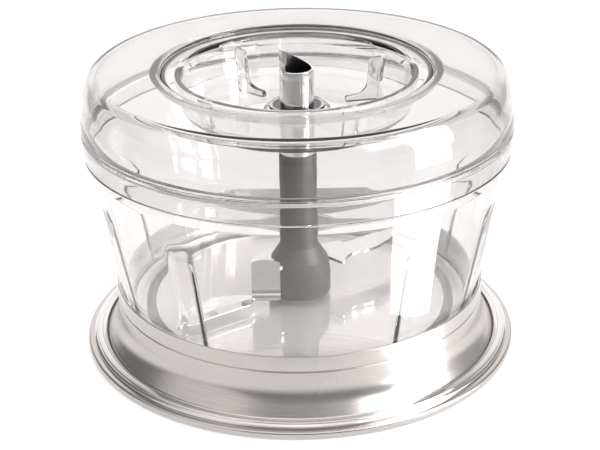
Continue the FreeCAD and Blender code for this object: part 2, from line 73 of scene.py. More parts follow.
def rounded(corners, steps):
    """Points round a closed outline of (radius, height, fillet) corners; a fillet may be left out."""
    points = []
    count = len(corners)
    for i, corner in enumerate(corners):
        here = Vector(corner[:2])
        fillet = corner[2] if len(corner) > 2 else 0.0
        before = Vector(corners[i - 1][:2]) - here
        after = Vector(corners[(i + 1) % count][:2]) - here
        if fillet <= 0 or before.length < TINY or after.length < TINY:
            points.append(tuple(here))
            continue
        before_length, after_length = before.length, after.length
        before.normalize()
        after.normalize()
        half = before.angle(after) / 2
        if half > NEARLY_STRAIGHT:
            points.append(tuple(here))
            continue
        room = FILLET_SHARE * min(before_length, after_length)
        tangent = min(fillet / math.tan(half), room)
        radius = tangent * math.tan(half)
        centre = here + (before + after).normalized() * (radius / math.sin(half))
        start = here + before * tangent - centre
        end = here + after * tangent - centre
        turn = start.angle_signed(end)
        for k in range(steps + 1):
            spoke = start.copy()
            spoke.rotate(Matrix.Rotation(-turn * k / steps, 2))
            points.append(tuple(centre + spoke))
    return points


def subdivided(points, longest):
    """The closed outline with extra points, so that no side is longer than this."""
    result = []
    for i, point in enumerate(points):
        following = points[(i + 1) % len(points)]
        pieces = max(1, math.ceil(math.dist(point, following) / longest))
        for k in range(pieces):
            share = k / pieces
            result.append((
                point[0] + (following[0] - point[0]) * share,
                point[1] + (following[1] - point[1]) * share,
            ))
    return result


def finish_mesh(name, mesh, material, body, nodes, sharp=32):
    """Cleans and shades a mesh, and makes it a piece that rides on a body."""
    edit = bmesh.new()
    edit.from_mesh(mesh)
    bmesh.ops.remove_doubles(edit, verts=edit.verts, dist=WELD_DISTANCE)
    bmesh.ops.recalc_face_normals(edit, faces=edit.faces)
    edit.to_mesh(mesh)
    edit.free()
    mesh.polygons.foreach_set("use_smooth", [True] * len(mesh.polygons))
    mesh.set_sharp_from_angle(angle=math.radians(sharp))
    piece = bpy.data.objects.new(name, mesh)
    bpy.context.scene.collection.objects.link(piece)
    piece.data.materials.append(material)
    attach(piece, body)
    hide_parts(*nodes)
    return piece


def lathe_mesh(name, outline, segments, shape):
    """A closed outline turned about Z; shape may move a point by angle."""
    r = np.array([p[0] for p in outline])[:, None] * np.ones(segments)
    z = np.array([p[1] for p in outline])[:, None] * np.ones(segments)
    angle = np.linspace(0, 2 * np.pi, segments, endpoint=False)[None, :] * np.ones(r.shape)
    if shape:
        r, z = shape(r, z, angle)
    vertices = np.stack([r * np.cos(angle), r * np.sin(angle), z], -1).reshape(-1, 3) * MM
    rows = len(outline)
    i = np.arange(rows)[:, None]
    k = np.arange(segments)[None, :]
    below, beside = (i + 1) % rows, (k + 1) % segments
    faces = np.stack([
        i * segments + k,
        i * segments + beside,
        below * segments + beside,
        below * segments + k,
    ], -1).reshape(-1, 4)
    on_axis = np.array([p[0] for p in outline]) < TINY
    inner_row = on_axis & on_axis[(np.arange(rows) + 1) % rows]
    faces = faces.reshape(rows, segments, 4)[~inner_row].reshape(-1, 4)
    mesh = bpy.data.meshes.new(name)
    mesh.from_pydata(vertices.tolist(), [], faces.tolist())
    return mesh


def lathe(name, outline, material, body, nodes, segments, shape=None):
    """A turned piece that stands for CAD nodes."""
    mesh = lathe_mesh(name, outline, segments, shape)
    return finish_mesh(name, mesh, material, body, nodes)


def smooth_step(low_edge, high_edge, value):
    """0 below the low edge, 1 above the high edge, and an S-curve between them."""
    share = np.clip((value - low_edge) / (high_edge - low_edge), 0, 1)
    return share * share * (3 - 2 * share)


def near_angles(angle, centres, half_width, soft):
    """1 within half_width degrees of any centre, fading to 0 over soft degrees."""
    degrees = np.degrees(angle)
    result = np.zeros_like(degrees)
    for centre in centres:
        away = np.abs((degrees - centre + 180) % 360 - 180)
        result = np.maximum(result, 1 - smooth_step(half_width, half_width + soft, away))
    return result

# ---------------------------------------------------------------- node tools

# Noise seldom leaves this range, so it is the range that gets spread out.
NOISE_LOW, NOISE_HIGH = 0.3, 0.7


def new_material(name):
    """A material with its nodes, its links and its shader."""
    material = bpy.data.materials.new(name)
    material.use_nodes = True
    nodes = material.node_tree.nodes
    return material, nodes, material.node_tree.links, nodes["Principled BSDF"]


def math_node(nodes, links, operation, *values):
    """The result of a Math node on numbers and other nodes' outputs."""
    node = nodes.new("ShaderNodeMath")
    node.operation = operation
    for socket, value in zip(node.inputs, values):
        if isinstance(value, float):
            socket.default_value = value
        else:
            links.new(value, socket)
    return node.outputs["Value"]


def spread_node(nodes, links, value, source, target, kind="LINEAR"):
    """A value carried over from the source range to the target range."""
    spread = nodes.new("ShaderNodeMapRange")
    spread.interpolation_type = kind
    spread.inputs["From Min"].default_value = source[0]
    spread.inputs["From Max"].default_value = source[1]
    spread.inputs["To Min"].default_value = target[0]
    spread.inputs["To Max"].default_value = target[1]
    links.new(value, spread.inputs["Value"])
    return spread.outputs["Result"]


def split_place(nodes, links):
    """The object's own coordinates as separate X, Y and Z outputs."""
    place = nodes.new("ShaderNodeTexCoord")
    split = nodes.new("ShaderNodeSeparateXYZ")
    links.new(place.outputs["Object"], split.inputs["Vector"])
    return split.outputs


def noise(nodes, links, scale, detail=3.0, stretch=(1, 1, 1)):
    """Noise in the object's own coordinates, stretched by axis."""
    place = nodes.new("ShaderNodeTexCoord")
    mapping = nodes.new("ShaderNodeMapping")
    mapping.inputs["Scale"].default_value = stretch
    texture = nodes.new("ShaderNodeTexNoise")
    texture.inputs["Scale"].default_value = scale
    texture.inputs["Detail"].default_value = detail
    links.new(place.outputs["Object"], mapping.inputs["Vector"])
    links.new(mapping.outputs["Vector"], texture.inputs["Vector"])
    return texture.outputs["Fac"]


def turned_noise(nodes, links, across, along):
    """Noise drawn out round the Z axis, as turning and brushing leave it."""
    place = split_place(nodes, links)
    flat = nodes.new("ShaderNodeCombineXYZ")
    links.new(place["X"], flat.inputs["X"])
    links.new(place["Y"], flat.inputs["Y"])
    radius = nodes.new("ShaderNodeVectorMath")
    radius.operation = "LENGTH"
    links.new(flat.outputs["Vector"], radius.inputs[0])
    direction = nodes.new("ShaderNodeVectorMath")
    direction.operation = "NORMALIZE"
    links.new(flat.outputs["Vector"], direction.inputs[0])
    turn = nodes.new("ShaderNodeVectorMath")
    turn.operation = "SCALE"
    turn.inputs["Scale"].default_value = along
    links.new(direction.outputs["Vector"], turn.inputs[0])
    outward = math_node(nodes, links, "MULTIPLY", radius.outputs["Value"], across)
    upward = math_node(nodes, links, "MULTIPLY", place["Z"], across)
    fine = nodes.new("ShaderNodeCombineXYZ")
    links.new(math_node(nodes, links, "ADD", outward, upward), fine.inputs["Z"])
    point = nodes.new("ShaderNodeVectorMath")
    point.operation = "ADD"
    links.new(turn.outputs["Vector"], point.inputs[0])
    links.new(fine.outputs["Vector"], point.inputs[1])
    texture = nodes.new("ShaderNodeTexNoise")
    texture.inputs["Scale"].default_value = 1.0
    texture.inputs["Detail"].default_value = 2.0
    links.new(point.outputs["Vector"], texture.inputs["Vector"])
    return texture.outputs["Fac"]


def coloured(nodes, links, shader, value, dark, light):
    """Base colour between dark and light by noise."""
    ramp = nodes.new("ShaderNodeValToRGB")
    ramp.color_ramp.elements[0].position = NOISE_LOW
    ramp.color_ramp.elements[0].color = (*dark, 1)
    ramp.color_ramp.elements[1].position = NOISE_HIGH
    ramp.color_ramp.elements[1].color = (*light, 1)
    links.new(value, ramp.inputs["Fac"])
    links.new(ramp.outputs["Color"], shader.inputs["Base Color"])


def roughened(nodes, links, shader, value, rough):
    """Roughness between two numbers by noise."""
    result = spread_node(nodes, links, value, (NOISE_LOW, NOISE_HIGH), rough)
    links.new(result, shader.inputs["Roughness"])


def bumped(nodes, links, shader, value, strength, depth):
    """Bump from a value, depth in metres."""
    bump = nodes.new("ShaderNodeBump")
    bump.inputs["Strength"].default_value = strength
    bump.inputs["Distance"].default_value = depth
    links.new(value, bump.inputs["Height"])
    links.new(bump.outputs["Normal"], shader.inputs["Normal"])


# ---------------------------------------------------------------- materials

# Scale of the slow drift in polish that hands and wiping leave on metal.
SMUDGE_SCALE = 45.0


def clear_plastic(name, dark, light, density, ior=1.5):
    """Clear moulded plastic, greyer where it is thick, with flow ripples and light haze."""
    material, nodes, links, shader = new_material(name)
    shader.inputs["Transmission Weight"].default_value = 1.0
    shader.inputs["IOR"].default_value = ior
    roughened(nodes, links, shader, noise(nodes, links, 60.0), (0.0, 0.012))
    coloured(nodes, links, shader, noise(nodes, links, 12.0), dark, light)
    flow = noise(nodes, links, 22.0, 1.0, (1, 1, 0.5))
    bumped(nodes, links, shader, flow, 0.35, 0.00003)
    body = nodes.new("ShaderNodeVolumeAbsorption")
    body.inputs["Color"].default_value = (0.7, 0.68, 0.675, 1)
    body.inputs["Density"].default_value = density
    links.new(body.outputs["Volume"], nodes["Material Output"].inputs["Volume"])
    return material


def metal(name, dark, light, rough, brushed=0.0, along=6.0):
    """Steel with turned lines, colour drift and uneven polish."""
    material, nodes, links, shader = new_material(name)
    shader.inputs["Metallic"].default_value = 1.0
    lines = turned_noise(nodes, links, 9000.0, along)
    coloured(nodes, links, shader, lines, dark, light)
    roughened(nodes, links, shader, noise(nodes, links, SMUDGE_SCALE), rough)
    bumped(nodes, links, shader, lines, brushed, 0.00004)
    return material


def milky_steel(name):
    """Polished metal under a pale film: part mirror, part soft white; inside the base's collar it is
    painted light over the shade there.
    """
    material, nodes, links, shader = new_material(name)
    shader.inputs["Metallic"].default_value = 0.35
    lines = turned_noise(nodes, links, 5000.0, 7.0)
    coloured(nodes, links, shader, lines, (0.95, 0.935, 0.928), (0.98, 0.97, 0.965))
    roughened(nodes, links, shader, noise(nodes, links, SMUDGE_SCALE), (0.04, 0.09))
    bumped(nodes, links, shader, lines, 0.06, 0.00004)
    return material


def blade_steel(name):
    """Mirror-polished sheet with faint straight grinding marks."""
    material, nodes, links, shader = new_material(name)
    shader.inputs["Metallic"].default_value = 1.0
    marks = noise(nodes, links, 300.0, 4.0, (1, 8, 8))
    coloured(nodes, links, shader, marks, (0.74, 0.74, 0.74), (0.82, 0.82, 0.815))
    roughened(nodes, links, shader, marks, (0.03, 0.1))
    bumped(nodes, links, shader, marks, 0.12, 0.00003)
    return material


def moulded(name, dark, light, rough, grain=900.0, depth=0.00004, strength=0.3):
    """Moulded plastic or rubber with a fine grain."""
    material, nodes, links, shader = new_material(name)
    coloured(nodes, links, shader, noise(nodes, links, 35.0), dark, light)
    fine = noise(nodes, links, grain)
    roughened(nodes, links, shader, fine, rough)
    bumped(nodes, links, shader, fine, strength, depth)
    return material


CLEAR = clear_plastic("clear_plastic", (0.965, 0.962, 0.96), (0.985, 0.982, 0.981), 72.0)
CLEAR_LID = clear_plastic("clear_lid", (0.89, 0.88, 0.878), (0.93, 0.922, 0.92), 120.0)
CLEAR_FIN = clear_plastic("clear_fin", (0.9, 0.9, 0.9), (0.94, 0.94, 0.94), 95.0, ior=1.42)
SATIN = metal("satin_metal", (0.5, 0.475, 0.462), (0.56, 0.533, 0.52), (0.22, 0.28), 0.1, 5.0)
BRIGHT = metal("bright_trim", (0.66, 0.645, 0.63), (0.74, 0.725, 0.71), (0.07, 0.12), 0.08, 5.0)
POLISHED = metal("polished_steel", (0.68, 0.68, 0.68), (0.76, 0.76, 0.76), (0.04, 0.1), 0.08, 9.0)
# Near-black steel for the tube's bore: painted shade inside the tube.
SHADED_BORE = metal("tube_bore_painted_shade", (0.10, 0.10, 0.10), (0.16, 0.16, 0.16), (0.25, 0.35))
PLATE = milky_steel("plate_steel")
BLADE = blade_steel("blade_steel")
FASTENER = metal("fastener_steel", (0.5, 0.5, 0.5), (0.64, 0.64, 0.64), (0.2, 0.32), 0.3)
STEM = moulded("stem_grey", (0.105, 0.097, 0.092), (0.122, 0.113, 0.108), (0.42, 0.52), strength=0.15)
PALE = moulded("pale_plastic", (0.6, 0.59, 0.58), (0.68, 0.67, 0.66), (0.4, 0.5))
RUBBER = moulded(
    "foot_rubber", (0.03, 0.03, 0.032), (0.055, 0.055, 0.057), (0.65, 0.8),
    grain=1400.0, depth=0.00008, strength=0.5,
)
SILICONE = moulded("silicone", (0.78, 0.78, 0.77), (0.86, 0.86, 0.85), (0.42, 0.55))
# Pale milky steel inside the base's collar: painted light lifting the shade there.
COLLAR_PAINTED_LIGHT = milky_steel("collar_painted_light")
NYLON = moulded("nylon", (0.82, 0.82, 0.8), (0.9, 0.9, 0.88), (0.35, 0.48))


# ---------------------------------------------------------------- clear bowl

# The lid's skirt clears the bowl's step and spigot by this.
LID_GAP = 0.3
BOWL_LOW = low("bowl")
RIM = top("bowl")
WALL = 3.0
CONE_SLOPE = 0.195
STEP = low("lid_shell") - LID_GAP
STEP_R = reach("bowl")
SPIGOT_R = 89.3
SPIGOT_INNER = SPIGOT_R - 2.0
BOWL_FLOOR = BOWL_LOW + WALL
SPINDLE_HOLE_R = 4.02
BOSS_R = 8.5
BOSS_TOP = BOWL_FLOOR + 3.0

# The ribs stand at these angles, in degrees, and each fades out to its sides.
RIBS = (25, 57, 123, 155, 205, 237, 303, 335)
RIB_HALF_WIDTH = 2.0
RIB_SOFT = 2.6
RIB_DEPTH = 1.1
RIB_FOOT = BOWL_FLOOR + 0.5
RIB_TOP = 75.0
RIB_TAPER = 12.0
INSIDE_FROM_R = 60


def cone_r(z):
    """Outer radius of the bowl at a height."""
    return STEP_R - CONE_SLOPE * (STEP - z)


def bowl_ribs(r, z, angle):
    """Pushes the inner wall inward where the upright ribs stand."""
    inner = (r > INSIDE_FROM_R) & (r < cone_r(z) - WALL * 0.8)
    inner = inner & (z > RIB_FOOT) & (z < RIB_TOP + 6)
    foot = smooth_step(RIB_FOOT, RIB_FOOT + 4.5, z)
    head = 1 - smooth_step(RIB_TOP - RIB_TAPER, RIB_TOP, z)
    push = RIB_DEPTH * foot * head * near_angles(angle, RIBS, RIB_HALF_WIDTH, RIB_SOFT)
    return r - np.where(inner, push, 0), z


def make_bowl():
    """The bowl: a cone with a flat floor, a boss for the spindle and a spigot for the lid."""
    neck = STEP - (STEP_R - SPIGOT_INNER - WALL) / CONE_SLOPE
    corners = [
        (SPINDLE_HOLE_R, BOWL_LOW),
        (cone_r(BOWL_LOW), BOWL_LOW, 5.5),
        (cone_r(STEP), STEP, 0.5),
        (SPIGOT_R, STEP, 0.25),
        (SPIGOT_R, RIM, 0.6),
        (SPIGOT_INNER, RIM, 0.6),
        (SPIGOT_INNER, neck, 6.0),
        (cone_r(BOWL_FLOOR) - WALL, BOWL_FLOOR, 5.0),
        (BOSS_R, BOWL_FLOOR, 0.8),
        (BOSS_R, BOSS_TOP, 0.6),
        (SPINDLE_HOLE_R, BOSS_TOP),
    ]
    outline = subdivided(rounded(corners, 8), 3.0)
    piece = lathe("bowl_clear", outline, CLEAR, "bowl", ["bowl"], 720, bowl_ribs)
    return piece


# ---------------------------------------------------------------- clear lid

LID_LOW = low("lid_shell")
LID_TOP = top("lid_shell")
LID_R = reach("lid_shell")
LID_WALL = 2.6
GROOVE = 100.4
GROOVE_HALF = 0.7
GROOVE_DEPTH = 0.6
SEAL_LOW = GROOVE - 0.4
SEAL_TOP = GROOVE + 1.0
WELL_LIP = 57.4
SEAT = 119.7
SEAT_R = 54.9
SEAT_UNDER = SEAT - 2.2


def make_lid():
    """The lid: skirt with a groove, rounded shoulder, flat top and the seat for the well."""
    skirt_inner = SPIGOT_R + LID_GAP
    seal_r = SPIGOT_INNER - 0.8
    wall_inner = LID_R - LID_WALL
    top_under = LID_TOP - LID_WALL
    corners = [
        (skirt_inner, LID_LOW, 0.2),
        (STEP_R, LID_LOW, 0.5),
        (LID_R, GROOVE - GROOVE_HALF, 0.4),
        (LID_R - GROOVE_DEPTH, GROOVE, 0.15),
        (LID_R, GROOVE + GROOVE_HALF, 0.4),
        (91.35, 106.0, 40.0),
        (89.7, 117.6, 24.0),
        (86.2, LID_TOP, 4.2),
        (WELL_LIP, LID_TOP, 1.3),
        (WELL_LIP, SEAT, 0.3),
        (SEAT_R, SEAT, 0.3),
        (SEAT_R, SEAT_UNDER, 0.4),
        (WELL_LIP + 2.0, SEAT_UNDER, 1.5),
        (WELL_LIP + 3.6, top_under, 1.2),
        (84.4, top_under, 3.0),
        (87.0, 116.8, 18.0),
        (wall_inner, GROOVE + 6.0, 20.0),
        (wall_inner, SEAL_TOP, 0.6),
        (seal_r, SEAL_TOP, 0.3),
        (seal_r, SEAL_LOW, 0.2),
        (skirt_inner, SEAL_LOW, 0.3),
    ]
    piece = lathe("lid_clear", rounded(corners, 10), CLEAR_LID, "lid", ["lid_shell"], 480)
    return piece


# ---------------------------------------------------------------- clear well

WELL_FLOOR = low("well_bush") + 5.1
GUIDE_LOW = low("well_cup")
GUIDE_R = 13.5
BUSH_HOLE_R = 10.45
WELL_TOP_R = 48.8
WELL_FLOOR_R = 46.2
WELL_WALL = 2.2
WELL_FLOOR_WALL = 2.4
WELL_LIP_TOP = SEAT + 2.6
WELL_RIBS = (40, 116, 220, 296)
WELL_RIB_HALF_WIDTH = 2.6
WELL_RIB_SOFT = 2.2
WELL_RIB_DEPTH = 2.6
WELL_RIB_FOOT = WELL_FLOOR + 0.3
WELL_RIB_TOP = SEAT - 2.0


def well_ribs(r, z, angle):
    """Pushes the well's wall inward where its four ribs stand."""
    inner = (r > WELL_FLOOR_R - 4.5) & (r < WELL_TOP_R + 0.2) & (z > WELL_RIB_FOOT) & (z < SEAT + 0.6)
    foot = smooth_step(WELL_RIB_FOOT, WELL_RIB_FOOT + 1.2, z)
    head = 1 - smooth_step(WELL_RIB_TOP - 1.4, WELL_RIB_TOP, z)
    near = near_angles(angle, WELL_RIBS, WELL_RIB_HALF_WIDTH, WELL_RIB_SOFT)
    push = WELL_RIB_DEPTH * foot * head * near
    return r - np.where(inner, push, 0), z


def make_well():
    """The well: a cup with a guide for the bush below it and a rounded lip that sits on the lid."""
    under = WELL_FLOOR - WELL_FLOOR_WALL
    outer_top_r = WELL_TOP_R + WELL_WALL
    lip_r = WELL_LIP - 0.2
    corners = [
        (BUSH_HOLE_R, GUIDE_LOW, 0.2),
        (GUIDE_R, GUIDE_LOW, 0.6),
        (GUIDE_R, under, 0.8),
        (WELL_FLOOR_R + WELL_WALL, under, 4.5),
        (outer_top_r, SEAT - 3.0, 2.0),
        (outer_top_r, SEAT, 0.3),
        (lip_r, SEAT, 0.2),
        (lip_r, WELL_LIP_TOP, 1.6),
        (WELL_TOP_R, WELL_LIP_TOP, 2.3),
        (WELL_FLOOR_R, WELL_FLOOR, 3.2),
        (BUSH_HOLE_R, WELL_FLOOR, 0.2),
    ]
    outline = subdivided(rounded(corners, 8), 1.2)
    piece = lathe("well_clear", outline, CLEAR, "lid", ["well_cup"], 720, well_ribs)
    return piece


HOOK_TOP = top("well_cup")
HOOK_THICKNESS = 2.6
HOOK_REACH_IN = 13.0
HOOK_TAPER = 0.25
HOOK_EDGE = 0.5
HOOK_RIM_ANGLE = 1.2
HOOK_SHARP = 12


def make_hook(name, angle, out):
    """J-shaped fin on the well's floor, at an angle in degrees and out from the middle."""
    corners = [
        (out - HOOK_REACH_IN, WELL_FLOOR - 0.4, 0.2),
        (out + 1.0, WELL_FLOOR - 0.4, 0.4),
        (out + 2.4, HOOK_TOP - 6.0, 3.0),
        (out + 3.6, HOOK_TOP - 3.0, 1.0),
        (out + 3.0, HOOK_TOP - 0.1, 1.2),
        (out - 2.6, HOOK_TOP - 0.6, 1.2),
        (out - 3.6, WELL_FLOOR + 3.4, 6.0),
        (out - HOOK_REACH_IN, WELL_FLOOR + 2.2, 1.2),
    ]
    outline = rounded(corners, 8)
    mesh = bpy.data.meshes.new(name)
    edit = bmesh.new()
    side = [edit.verts.new((p[0] * MM, -HOOK_THICKNESS / 2 * MM, p[1] * MM)) for p in outline]
    face = edit.faces.new(side)
    grown = bmesh.ops.extrude_face_region(edit, geom=[face])
    moved = [v for v in grown["geom"] if isinstance(v, bmesh.types.BMVert)]
    bmesh.ops.translate(edit, verts=moved, vec=(0, HOOK_THICKNESS * MM, 0))
    bmesh.ops.remove_doubles(edit, verts=edit.verts, dist=TINY)
    rims = [
        e for e in edit.edges
        if e.is_manifold and e.calc_face_angle() > HOOK_RIM_ANGLE
        and abs(e.verts[0].co.y - e.verts[1].co.y) < TINY
    ]
    bmesh.ops.bevel(edit, geom=rims, offset=HOOK_EDGE * MM, segments=3, affect="EDGES", profile=0.5)
    for vertex in edit.verts:
        rise = (vertex.co.z / MM - WELL_FLOOR) / (HOOK_TOP - WELL_FLOOR)
        vertex.co.y *= 1.0 - HOOK_TAPER * rise
    turn = Matrix.Rotation(math.radians(angle), 3, "Z")
    bmesh.ops.rotate(edit, verts=edit.verts, cent=(0, 0, 0), matrix=turn)
    edit.to_mesh(mesh)
    edit.free()
    piece = finish_mesh(name, mesh, CLEAR_FIN, "lid", ["well_cup"], HOOK_SHARP)
    return piece


# ---------------------------------------------------------------- base

COLLAR_INNER = 79.6
COLLAR_OUTER = 80.6
PAN_R = 73.0
# The foot ring's groove in the underside.
FOOT_INNER = 84.0
FOOT_OUTER = 92.0
FOOT_TOP = 1.7
# Faces inside this radius and above this height get pale milky steel: painted light inside the collar,
# lifting the shade that falls there under the bowl.
COLLAR_LIGHT_R = 80.0
COLLAR_LIGHT_LOW = 13.0


def make_base():
    """The metal skirt, with painted light of pale milky steel inside its collar, and the bead that
    trims its flange.
    """
    base_r = reach("base_ring")
    flange_low = low("base_ring")
    collar_top = top("base_ring")
    flange_top = low("rim_trim")
    corners = [
        (COLLAR_INNER, collar_top, 0.3),
        (COLLAR_OUTER, collar_top, 0.35),
        (COLLAR_OUTER, 22.9, 0.3),
        (COLLAR_OUTER - 0.25, 22.5, 0.1),
        (COLLAR_OUTER, 22.1, 0.3),
        (81.0, 12.0, 14.0),
        (86.4, 4.6, 1.5),
        (86.6, flange_top, 0.3),
        (base_r, flange_top, 1.1),
        (base_r, flange_low, 0.6),
        (FOOT_OUTER, flange_low, 0.1),
        (FOOT_OUTER, FOOT_TOP, 0.1),
        (FOOT_INNER, FOOT_TOP, 0.1),
        (FOOT_INNER, flange_low, 0.1),
        (PAN_R, flange_low, 0.2),
        (PAN_R, flange_top, 0.2),
        (84.6, flange_top, 0.5),
        (79.8, 12.5, 10.0),
        (COLLAR_INNER, 22.5, 2.0),
    ]
    piece = lathe("base_skirt", rounded(corners, 10), SATIN, "base", ["base_ring"], 480)
    # Faces inside the collar get the pale milky steel: painted light over the shade there.
    piece.data.materials.append(COLLAR_PAINTED_LIGHT)
    for polygon in piece.data.polygons:
        middle = polygon.center / MM
        if middle.xy.length < COLLAR_LIGHT_R and middle.z > COLLAR_LIGHT_LOW:
            polygon.material_index = 1
    bead = [
        (86.8, flange_top, 0.1),
        (86.8, 5.3, 0.5),
        (88.3, 6.0, 0.8),
        (88.6, 5.75, 0.1),
        (88.9, 5.98, 0.3),
        (90.9, 5.5, 0.8),
        (91.15, 5.1, 0.08),
        (91.5, 5.1, 0.3),
        (92.4, 4.2, 0.6),
        (92.4, flange_top, 0.1),
    ]
    trim = lathe("rim_bead", rounded(bead, 6), BRIGHT, "base", ["rim_trim"], 480)


# ---------------------------------------------------------------- blade unit

HUB_TOP_R = 12.6
STEM_R = 8.1
STEM_ROOT_R = 8.0
STEM_TOP = 86.0
SLEEVE_HOLE_R = 5.7
# The stem's plug and collar that hold the drive tube.
PLUG_R = 5.38
TUBE_SEAT_R = 7.37


def make_stem():
    """The grey stem: a barrel on a flared hub, hollow for the bearing and turned down in the tube."""
    foot = low("blade_stem")
    plug_top = top("blade_stem")
    shoulder = foot + 10.6
    hole_top = top("bearing_sleeve") + 0.3
    tube_low = low("drive_tube")
    corners = [
        (SLEEVE_HOLE_R, foot, 0.1),
        (STEM_ROOT_R, foot, 0.1),
        (STEM_ROOT_R, shoulder),
        (HUB_TOP_R, shoulder, 0.15),
        (10.9, 38.4, 3.0),
        (8.6, 42.2, 3.0),
        (8.15, 46.0, 8.0),
        (STEM_R, STEM_TOP, 0.5),
        (TUBE_SEAT_R, STEM_TOP, 0.05),
        (TUBE_SEAT_R, tube_low),
        (PLUG_R, tube_low),
        (PLUG_R, plug_top, 0.6),
        (0, plug_top),
        (0, hole_top),
        (SLEEVE_HOLE_R, hole_top),
    ]
    piece = lathe("stem_barrel", rounded(corners, 8), STEM, "blade_unit", ["blade_stem"], 160)


TUBE_R = 7.35
TUBE_BORE_R = 5.4
SOCKET_R = 6.2
SOCKET_LOW = 112.0
LIP = 122.3
LIP_ZONE = 0.5
# The mouth's ramp follows 1 - cos up to this turn, where it comes to RAMP_RISE, and the
# tooth then stays level from RAMP_END to TOOTH_END, in degrees.
RAMP_TURN = math.pi / 1.25
RAMP_RISE = 1.809
RAMP_END = 200.0
TOOTH_END = 230.0
# Faces inside this radius are the bore: rougher steel painted near black, the dark colour being painted
# shade inside the tube.
PAINTED_SHADE_R = 6.35


def tube_mouth(r, z, angle):
    """Raises the tube's mouth along a ramp to a tooth that ends in a sheer drop."""
    degrees = np.degrees(angle)
    tooth = top("drive_tube") - LIP
    share = np.clip(degrees / RAMP_END, 0, 1)
    ramp = tooth * (1 - np.cos(RAMP_TURN * share)) / RAMP_RISE
    ramp = np.where(degrees < TOOTH_END, ramp, 0)
    at_mouth = smooth_step(LIP - LIP_ZONE, LIP - 0.05, z)
    return r, z + ramp * at_mouth


def make_tube():
    """The steel drive tube, with its stepped bore and toothed mouth."""
    tube_low = low("drive_tube")
    corners = [
        (TUBE_BORE_R, tube_low, 0.1),
        (TUBE_R, tube_low, 0.1),
        (TUBE_R, LIP - LIP_ZONE),
        (TUBE_R, LIP, 0.22),
        (SOCKET_R, LIP, 0.22),
        (SOCKET_R, LIP - LIP_ZONE),
        (SOCKET_R, SOCKET_LOW, 0.1),
        (TUBE_BORE_R, SOCKET_LOW, 0.2),
    ]
    outline = rounded(corners, 4)
    piece = lathe("tube_body", outline, POLISHED, "blade_unit", ["drive_tube"], 720, tube_mouth)
    # The bore's faces get near-black steel: painted shade inside the tube.
    piece.data.materials.append(SHADED_BORE)
    for polygon in piece.data.polygons:
        if (polygon.center / MM).xy.length < PAINTED_SHADE_R:
            polygon.material_index = 1


# ---------------------------------------------------------------- CAD nodes that stay

KEPT = {
    "foot_ring": RUBBER,
    "base_pan": PALE,
    "deck_plate": PLATE,
    "bowl_gasket": PLATE,
    "base_screws": FASTENER,
    "spindle": POLISHED,
    "spindle_washer": PLATE,
    "spindle_nut": FASTENER,
    "bearing_sleeve": NYLON,
    "thrust_washer": FASTENER,
    "drive_pin": FASTENER,
    "upper_blade": BLADE,
    "lower_blade": BLADE,
    "blade_spacer": STEM,
    "hub_foot": STEM,
    "lid_seal": SILICONE,
    "well_bush": CLEAR_LID,
    "tube_seal": SILICONE,
}


def paint_kept():
    """Gives each CAD node that stays its material."""
    for node, material in KEPT.items():
        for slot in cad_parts[node].material_slots:
            slot.material = material


# ---------------------------------------------------------------- stage

# The surroundings' brightness, and soft patches on them: azimuth and elevation of the
# middle (0 is the camera's side, 90 its right), inner and outer half angles, and brightness.
SKY_LEVEL = 0.24
SKY_COLOUR = (1, 0.98, 0.972, 1)
SKY_PATCHES = [
    (180, 14, 20, 46, 1.1),
    (-58, 22, 18, 34, 0.75),
    (110, 20, 20, 50, 0.2),
    (0, 55, 15, 50, 0.22),
    (0, 90, 22, 50, 1.05),
]

FLOOR_HALF = 6.0
FLOOR_SHADE = (0.55, 0.93)
FLOOR_GLOW = 0.32
# Where painted shade greys the floor for all but camera rays: at the sides, measured out
# from the middle line plus a share of the depth, and in front.
SIDE_FADE = (0.24, 0.36)
SIDE_LEAN = -0.6
FRONT_FADE = (-0.12, -0.2)

# Corners of a lit slot in the table, in metres, seen only in the glossy walls above it.
LIT_SLOT = [(0.074, -0.092), (0.094, -0.056), (0.300, -0.090), (0.216, -0.236)]
LIT_SLOT_HEIGHT = 0.0008
LIT_SLOT_GLOW = 12.0

CAMERA_AIM = Vector((0, 0, 0.0499))
CAMERA_DISTANCE = 0.640
CAMERA_ELEVATION = math.radians(24.8)
CAMERA_ROLL = math.radians(-0.85)
CAMERA_LENS = 87.3
# A share of the image's width.
CAMERA_SHIFT = 0.002


def flat_mesh(name, corners, height):
    """A single face at a height, in metres."""
    mesh = bpy.data.meshes.new(name)
    mesh.from_pydata([(x, y, height) for x, y in corners], [], [tuple(range(len(corners)))])
    return mesh


def area_light(name, place, aim, size, power):
    """A rectangular lamp at a place, turned to face its aim."""
    light = bpy.data.lights.new(name, "AREA")
    light.shape = "RECTANGLE"
    light.size, light.size_y = size
    light.energy = power
    holder = bpy.data.objects.new(name, light)
    holder.location = place
    holder.rotation_euler = (Vector(aim) - Vector(place)).to_track_quat("-Z", "Y").to_euler()
    bpy.context.scene.collection.objects.link(holder)
    return holder


